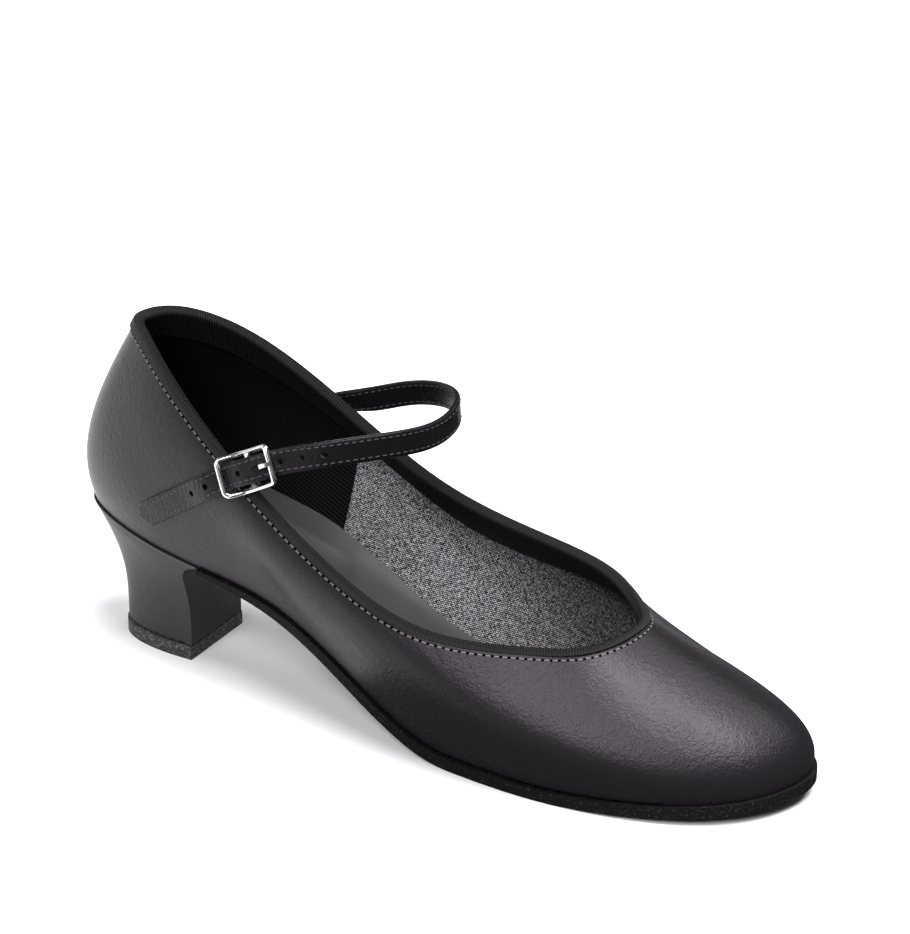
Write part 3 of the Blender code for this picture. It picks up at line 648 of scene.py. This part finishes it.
class Crease:
    """A soft trough, or a ridge if deep is negative, from one place to another on the outside."""

    def __init__(self, start, end, wide, deep):
        self.start = Vector(start) * MM + SEAT_BACK
        self.end = Vector(end) * MM + SEAT_BACK
        self.wide = wide * MM
        self.deep = deep * MM

    def depth_at(self, places):
        """How deep the crease is at each place."""
        line = np.array(self.end - self.start)
        away = places - np.array(self.start)
        share = np.clip(away @ line / (line @ line), 0.0, 1.0)
        gap = np.linalg.norm(away - share[:, None] * line, axis=1)
        fade = np.sin(math.pi * (share * (1.0 - 2.0 * CREASE_ENDS) + CREASE_ENDS))
        return self.deep * fade * np.exp(-(gap / self.wide) ** 2)


CREASES = [
    Crease((60.0, -26.0, 60.0), (88.0, -28.0, 36.0), 7.0, 0.5),
    Crease((76.0, -29.0, 62.0), (104.0, -32.0, 34.0), 6.0, -0.35),
    Crease((100.0, -33.0, 50.0), (128.0, -38.0, 22.0), 7.0, 0.45),
    Crease((20.0, -12.0, 84.0), (44.0, -24.0, 58.0), 8.0, 0.35),
    Crease((196.0, -12.0, 38.0), (204.0, 14.0, 38.0), 7.0, 0.25),
    Crease((60.0, 32.0, 60.0), (86.0, 32.0, 36.0), 7.0, 0.5),
    Crease((96.0, 34.0, 50.0), (128.0, 38.0, 24.0), 7.0, 0.4),
]


def from_sole_up(grid, places):
    """The upper's rings from the sole's edge up the outside, and then down the inside."""
    heights = places[grid][:, :, 2].mean(1)
    lengths = [around_length(places[ring])[-1] for ring in grid]
    low_two = np.argsort(heights)[:2]
    first = max(low_two, key=lambda ring: lengths[ring])
    grid = np.roll(grid, -first, 0)
    heights = np.roll(heights, -first)
    if heights[1] < heights[-1]:
        grid = np.concatenate([grid[:1], grid[:0:-1]])
    return grid


def line_inside(piece, grid):
    """Give the faces between the inner rings the second material."""
    inside = set(grid[len(grid) // 2:].ravel().tolist())
    for face in piece.data.polygons:
        face.material_index = int(all(index in inside for index in face.vertices))


def make_upper():
    """The upper with its creases, and its linings on the inner skin."""
    piece = copied("upper", "upper_leather", "lining")
    line_inside(piece, from_sole_up(tube_grid(piece, COLUMNS), places_of(piece)))
    piece = subdivided(piece, 2)
    mesh = piece.data
    normals = np.array([vertex.normal for vertex in mesh.vertices])
    places = places_of(piece)
    depth = sum(crease.depth_at(places) for crease in CREASES)
    mesh.vertices.foreach_set("co", (places - normals * depth[:, None]).ravel())
    mesh.update()
    print("faces of the linings:", sum(face.material_index for face in mesh.polygons))
    return finished(piece, "upper_finish", "upper")


UPPER = make_upper()

# %% [markdown]
# ## Collar ribbon
#
# The raw edge of the collar is bound in ribbon: it is sewn on outside, folded over the edge and
# pressed down inside. The ribbon's solid is one folded band, so its piece keeps that section. Its
# UV runs along the collar and round the fold in millimetres, which is what the ribs follow.

# %% Collar ribbon
INNER_EDGE = 7          # rings from the ribbon's outer edge, over the collar, to its edge inside


def in_ribbon_order(grid, places):
    """The ribbon's rings from its outer edge up, over the collar, down inside and back underneath.

    The two lowest rings are the edge inside. The shorter of them is on the ribbon's face.
    """
    heights = places[grid][:, :, 2].mean(1)
    lengths = [around_length(places[ring])[-1] for ring in grid]
    face_edge, back_edge = sorted(np.argsort(heights)[:2], key=lambda ring: lengths[ring])
    if (face_edge + 1) % len(grid) != back_edge:
        grid = grid[::-1]
        face_edge = len(grid) - 1 - face_edge
    return np.roll(grid, INNER_EDGE - face_edge, 0)


def make_binding():
    """The ribbon, with ribs that follow the collar, and the lines of its outer edge and fold."""
    piece = copied("topline_binding", "binding_ribbon")
    places = places_of(piece)
    grid = in_ribbon_order(tube_grid(piece, COLUMNS), places)
    band_uv(piece, grid)
    edge, fold = places[grid[1]], places[grid[2]]
    finished(subdivided(piece, 2), "topline_binding_finish", "topline_binding")
    return edge, fold


RIBBON_EDGE, RIBBON_FOLD = make_binding()
print("ribbon edge in mm:", round(around_length(RIBBON_EDGE)[-1] / MM))

# %% [markdown]
# ## Sole, sock, heel, strap and buckle
#
# These keep the form of their solids. The sock is the cloth-backed sheet that the foot stands on.
# Its edge turns up against the wall round the seat. The heel is a block covered in the upper's own
# coated cloth, with a rubber wearing piece nailed under it. The strap is folded leather.

# %% Plain pieces
STRAP_COPY = copied("ankle_strap")
HEEL_COPY = copied("heel")
dressed("insole", "insole_board", 2)
dressed("outsole", "sole_composition", 2)
for node, finish, levels in (("heel", "heel_cover", 2), ("top_piece", "top_piece_rubber", 1)):
    piece = level_ends_joined(copied(node, finish))
    finished(subdivided(piece, levels), node + "_finish", node)
dressed("ankle_strap", "strap_leather", 1)
dressed("buckle_tab", "strap_leather", 2)
dressed("buckle_frame", "buckle_nickel", 2)
dressed("buckle_prong", "buckle_nickel", 2)

# %% [markdown]
# ## Stitches
#
# The ribbon is sewn down by machine: a row of stitches runs just below its outer edge, about ten to
# the inch, each pulled a little into the leather, with a needle hole at either end, shown as a dark
# patch of painted shade. A stitch is one short bead of thread. Beads are laid along a line by
# distance, and each one is turned to the line and to the surface under it.

# %% Stitches
BEAD_SIDES = 6
BEAD_SHAPE = ((-1.0, 0.45), (-0.6, 1.0), (0.6, 1.0), (1.0, 0.45))   # shares of half length and width
COLLAR_STITCH = 2.5 * MM                        # from stitch to stitch
COLLAR_THREAD = (1.65 * MM, 0.62 * MM, 0.5 * MM)    # length, width and height of one stitch
COLLAR_LIFT = 0.08 * MM                         # from the leather to the middle of the thread
# size of a dark patch of painted shade for a needle hole
NEEDLE_HOLE_SHADE = (0.95 * MM, 0.8 * MM, 0.16 * MM)
COLLAR_MARGIN = 1.2 * MM                        # from the ribbon's edge to the stitches
STRAP_STITCH = 2.3 * MM
STRAP_THREAD = (1.5 * MM, 0.42 * MM, 0.36 * MM)
STRAP_LIFT = 0.06 * MM
STRAP_MARGIN = 0.9 * MM
STRAP_POINTS = 400
STRAP_END = 4                                   # points left without stitches at either end
STRAP_AT_LEAST = 180.0 * MM                     # length by which the strap's long edges are known
STRAIGHT_ON = 0.9                               # least cosine of a turn from edge to edge of a line
ANKLE = Vector((75.0, 3.0, 80.0)) * MM          # a place inside the ring of the strap


def even_places(points, pitch, closed):
    """Places at an even distance along a line of points, with the line's direction at each."""
    if closed:
        points = np.concatenate([points, points[:1]])
    travel = travel_along(points)
    count = int(round(travel[-1] / pitch))
    at = (np.arange(count) + 0.5) * travel[-1] / count
    reach = pitch * 0.2
    ahead, behind = (at_travel(points, travel, at + step) for step in (reach, -reach))
    return at_travel(points, travel, at), ahead - behind


def bead(long, wide, high):
    """A short bead of thread along X, thin at its ends, as points and faces."""
    points, faces = [], []
    sides, rings = BEAD_SIDES, len(BEAD_SHAPE)
    for share, swell in BEAD_SHAPE:
        for k in range(sides):
            angle = 2.0 * math.pi * k / sides
            points.append((
                share * long / 2.0,
                math.cos(angle) * swell * wide / 2.0,
                math.sin(angle) * swell * high / 2.0,
            ))
    for low in range(0, (rings - 1) * sides, sides):
        for k in range(sides):
            after = (k + 1) % sides
            faces.append((low + k, low + after, low + sides + after, low + sides + k))
    faces.append(tuple(reversed(range(sides))))
    faces.append(tuple(range((rings - 1) * sides, rings * sides)))
    return np.array(points), faces


def on_surface(tree, place, along, lift):
    """A frame at the nearest place on a surface: X along the line and Z out of the surface."""
    spot, normal, _, _ = tree.find_nearest(Vector(place))
    forward = Vector(along)
    forward = (forward - normal * forward.dot(normal)).normalized()
    turn = Matrix((forward, normal.cross(forward), normal)).transposed().to_4x4()
    return Matrix.Translation(spot + normal * lift) @ turn


def lay_beads(name, finish, frames, shape):
    """One mesh with a bead at every frame."""
    points, faces = shape
    corners, polygons = [], []
    for place in frames:
        first = len(corners)
        corners += [place @ Vector(point) for point in points]
        polygons += [tuple(first + index for index in face) for face in faces]
    return new_piece(name, finish, corners, polygons)


def surface_of(piece):
    """A tree for finding places on a piece."""
    return BVHTree.FromObject(piece, bpy.context.evaluated_depsgraph_get())


def make_collar_stitches():
    """The row of stitches below the ribbon, with a dark patch of painted shade for the needle hole between
    two stitches.
    """
    below = RIBBON_EDGE - RIBBON_FOLD
    below = below / np.linalg.norm(below, axis=1)[:, None]
    line = RIBBON_EDGE + below * COLLAR_MARGIN
    tree = surface_of(UPPER)
    here, along = even_places(line, COLLAR_STITCH, True)
    stitches = [on_surface(tree, place, way, COLLAR_LIFT) for place, way in zip(here, along)]
    between = (here + np.roll(here, -1, 0)) / 2.0
    holes = [on_surface(tree, place, way, 0.0) for place, way in zip(between, along)]
    lay_beads("collar_stitches", "collar_thread", stitches, bead(*COLLAR_THREAD))
    lay_beads("collar_needle_hole_shade", "needle_hole_painted_shade", holes, bead(*NEEDLE_HOLE_SHADE))


def sharp_lines(piece, at_least):
    """Lines of sharp edges that run on without a sudden turn, if they are long enough."""
    mesh = bmesh.new()
    mesh.from_mesh(piece.data)
    sharp = [edge for edge in mesh.edges if len(edge.link_faces) == 2 and edge.calc_face_angle() > SHARP]
    unused = set(sharp)
    lines = []
    for first in sharp:
        if first not in unused:
            continue
        unused.discard(first)
        ends = []
        for vertex in first.verts:
            path, edge = [vertex], first
            while True:
                way = (path[-1].co - edge.other_vert(path[-1]).co).normalized()
                ahead = [
                    (way.dot((other.other_vert(path[-1]).co - path[-1].co).normalized()), other)
                    for other in path[-1].link_edges if other in unused
                ]
                share, edge = max(ahead, key=lambda pair: pair[0], default=(0.0, None))
                if share < STRAIGHT_ON:
                    break
                unused.discard(edge)
                path.append(edge.other_vert(path[-1]))
            ends.append([np.array(corner.co) for corner in path])
        line = np.array(ends[0][::-1] + ends[1])
        if travel_along(line)[-1] > at_least:
            lines.append(line)
    mesh.free()
    return lines


def evenly(line, count):
    """The same line as an even count of points."""
    travel = travel_along(line)
    return at_travel(line, travel, np.linspace(0.0, travel[-1], count))


def strap_edges():
    """The two long edges of the strap's outer face, and the two of its back."""
    lines = [evenly(line, STRAP_POINTS) for line in sharp_lines(STRAP_COPY, STRAP_AT_LEAST)]
    print("long edges of the strap:", len(lines))
    lines = [line if line[0][1] < line[-1][1] else line[::-1] for line in lines]
    lines.sort(key=lambda line: line[:, 2].mean())
    centre = np.array(ANKLE + SEAT_BACK)[:2]

    def far(line):
        return np.linalg.norm(line[:, :2] - centre, axis=1).mean()

    low = sorted(lines[:4], key=far)
    high = sorted(lines[4:], key=far)
    return (low[-1], high[-1]), (low[0], high[0])


def make_strap_stitches():
    """Two rows on the strap's outer face and two on its back."""
    tree = surface_of(bpy.data.objects["ankle_strap_finish"])
    frames = []
    for low, high in strap_edges():
        inward = (high - low) / np.linalg.norm(high - low, axis=1)[:, None]
        for line in (low + inward * STRAP_MARGIN, high - inward * STRAP_MARGIN):
            here, along = even_places(line[STRAP_END:-STRAP_END], STRAP_STITCH, False)
            frames += [on_surface(tree, place, way, STRAP_LIFT) for place, way in zip(here, along)]
    lay_beads("strap_stitches", "strap_thread", frames, bead(*STRAP_THREAD))


make_collar_stitches()
make_strap_stitches()
bpy.data.objects.remove(STRAP_COPY, do_unlink=True)

# %% [markdown]
# ## Heel seam
#
# Where the heel's cover meets the upper, its turned edge stands up as a thin lip, which catches the
# light. It is a fine tube along the heel's upper rim, from one side of the breast round the back.
# Its finish is paler than the heel's cover, a painted highlight on top of the light that the lip's
# own rounding catches.

# %% Heel seam
SEAM_AT_LEAST = 90.0 * MM                       # length by which the heel's rims are known
SEAM_POINTS = 160
SEAM_SIDES = 8
SEAM_RADIUS = 0.42 * MM
SEAM_LIFT = Vector((0.0, 0.0, 0.18)) * MM
SEAM_IN = 0.12 * MM                             # from the rim towards the upper


def tube(name, finish, points, radius, sides):
    """A thin tube along an open line of points."""
    corners, faces = [], []
    for k, place in enumerate(points):
        along = Vector(points[min(k + 1, len(points) - 1)] - points[max(k - 1, 0)]).normalized()
        side = along.cross(Vector((0.0, 0.0, 1.0))).normalized()
        face = side.cross(along)
        for step in range(sides):
            angle = 2.0 * math.pi * step / sides
            corners.append(Vector(place) + radius * (side * math.cos(angle) + face * math.sin(angle)))
    for k in range(len(points) - 1):
        for step in range(sides):
            after = (step + 1) % sides
            low = k * sides
            faces.append((low + step, low + sides + step, low + sides + after, low + after))
    faces.append(tuple(range(sides)))
    faces.append(tuple(reversed(range((len(points) - 1) * sides, len(points) * sides))))
    return new_piece(name, finish, corners, faces)


def make_heel_seam():
    """The lip along the heel's upper rim."""
    rims = sharp_lines(HEEL_COPY, SEAM_AT_LEAST)
    rim = max(rims, key=lambda line: line[:, 2].mean())
    points = evenly(rim, SEAM_POINTS)
    inward = points.mean(0) - points
    inward[:, 2] = 0.0
    points = points + inward / np.linalg.norm(inward, axis=1)[:, None] * SEAM_IN + np.array(SEAM_LIFT)
    tube("heel_seam", "seam_lip_painted_highlight", points, SEAM_RADIUS, SEAM_SIDES)


make_heel_seam()
bpy.data.objects.remove(HEEL_COPY, do_unlink=True)

# %% [markdown]
# ## Floor and light
#
# The photograph was taken on white paper under soft lamps. The strongest is overhead and leaves a
# broad pale sheen on the top of the vamp. One in front lights the side of the vamp, a weak wide one
# on the left the back of the quarter, and one behind the far rim. Together they leave a soft shadow
# close to the sole.
#
# The lower wall mirrors the paper at the waist and stays dark at the ball and toe. So the paper is
# laid in two halves, and only the left one shows in the gloss.

# %% Floor and light
FLOOR = 200.0                                   # size of either half of the paper
FLOOR_SPLIT = 95.0 * MM + SEAT_BACK.x           # where the two halves meet
PAPER_WHITE = (0.86, 0.86, 0.87)
BACKDROP = 1.2                                  # brightness of the room where the camera sees it
ROOM = 0.10                                     # and where only the shoe does

# A lamp's name, the way to it, how wide it looks in degrees, and its power.
LAMPS = (
    ("overhead", (0.30, -0.05, 0.95), 36.0, 5.4),
    ("front", (0.04, -0.72, 0.69), 25.0, 2.2),
    ("left", (-0.97, -0.16, 0.18), 80.0, 0.9),
    ("back", (0.27, 0.58, 0.77), 30.0, 0.8),
)


def add_floor(name, side, paper, mirrored):
    """Half of the white paper, to one side of FLOOR_SPLIT, wide enough for every view."""
    bpy.ops.mesh.primitive_plane_add(size=FLOOR, location=(FLOOR_SPLIT + side * FLOOR / 2.0, 0.0, 0.0))
    floor = bpy.context.object
    floor.name = name
    floor.data.materials.append(paper)
    floor.visible_glossy = mirrored
    floor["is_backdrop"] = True


def make_paper():
    """White paper with the faintest mottle."""
    finish = Finish("paper", PAPER_WHITE, 0.9)
    finish.set("Base Color", finish.mix(finish.noise(0.02), PAPER_WHITE, (0.85, 0.85, 0.86)))
    return finish.material


def add_lamp(name, towards, wide, power):
    """A far soft lamp, given by the way to it, how wide it looks in degrees and its power."""
    data = bpy.data.lights.new(name, "SUN")
    data.angle = math.radians(wide)
    data.energy = power
    lamp = bpy.data.objects.new(name, data)
    lamp.rotation_euler = (-Vector(towards)).to_track_quat("-Z", "Y").to_euler()
    bpy.context.scene.collection.objects.link(lamp)


def add_sky():
    """The room round the paper: dim for the shoe, and as white as the paper behind it."""
    world = bpy.data.worlds.new("studio")
    world.use_nodes = True
    tree = world.node_tree
    back = tree.nodes["Background"]
    back.inputs["Color"].default_value = (0.90, 0.94, 1.0, 1.0)
    seen = Value(tree, tree.nodes.new("ShaderNodeLightPath").outputs["Is Camera Ray"])
    feed(tree, back.inputs["Strength"], seen * (BACKDROP - ROOM) + ROOM)
    bpy.context.scene.world = world


PAPER = make_paper()
add_floor("floor_left", -1.0, PAPER, True)
add_floor("floor_right", 1.0, PAPER, False)
add_sky()
for name, towards, wide, power in LAMPS:
    add_lamp(name, towards, wide, power)
bpy.context.scene.view_settings.view_transform = "Standard"

# %% [markdown]
# ## Size
#
# Both boxes, of the solids and of the pieces, are printed here. The pieces must stay
# inside the box of the solids.

# %% Size
boxes = {"cad_box_m": CAD_BOX, "visual_box_m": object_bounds()}
boxes = {name: [[float(size) for size in corner] for corner in box] for name, box in boxes.items()}
for name, (low, high) in boxes.items():
    print(name, [round((b - a) / MM, 1) for a, b in zip(low, high)])
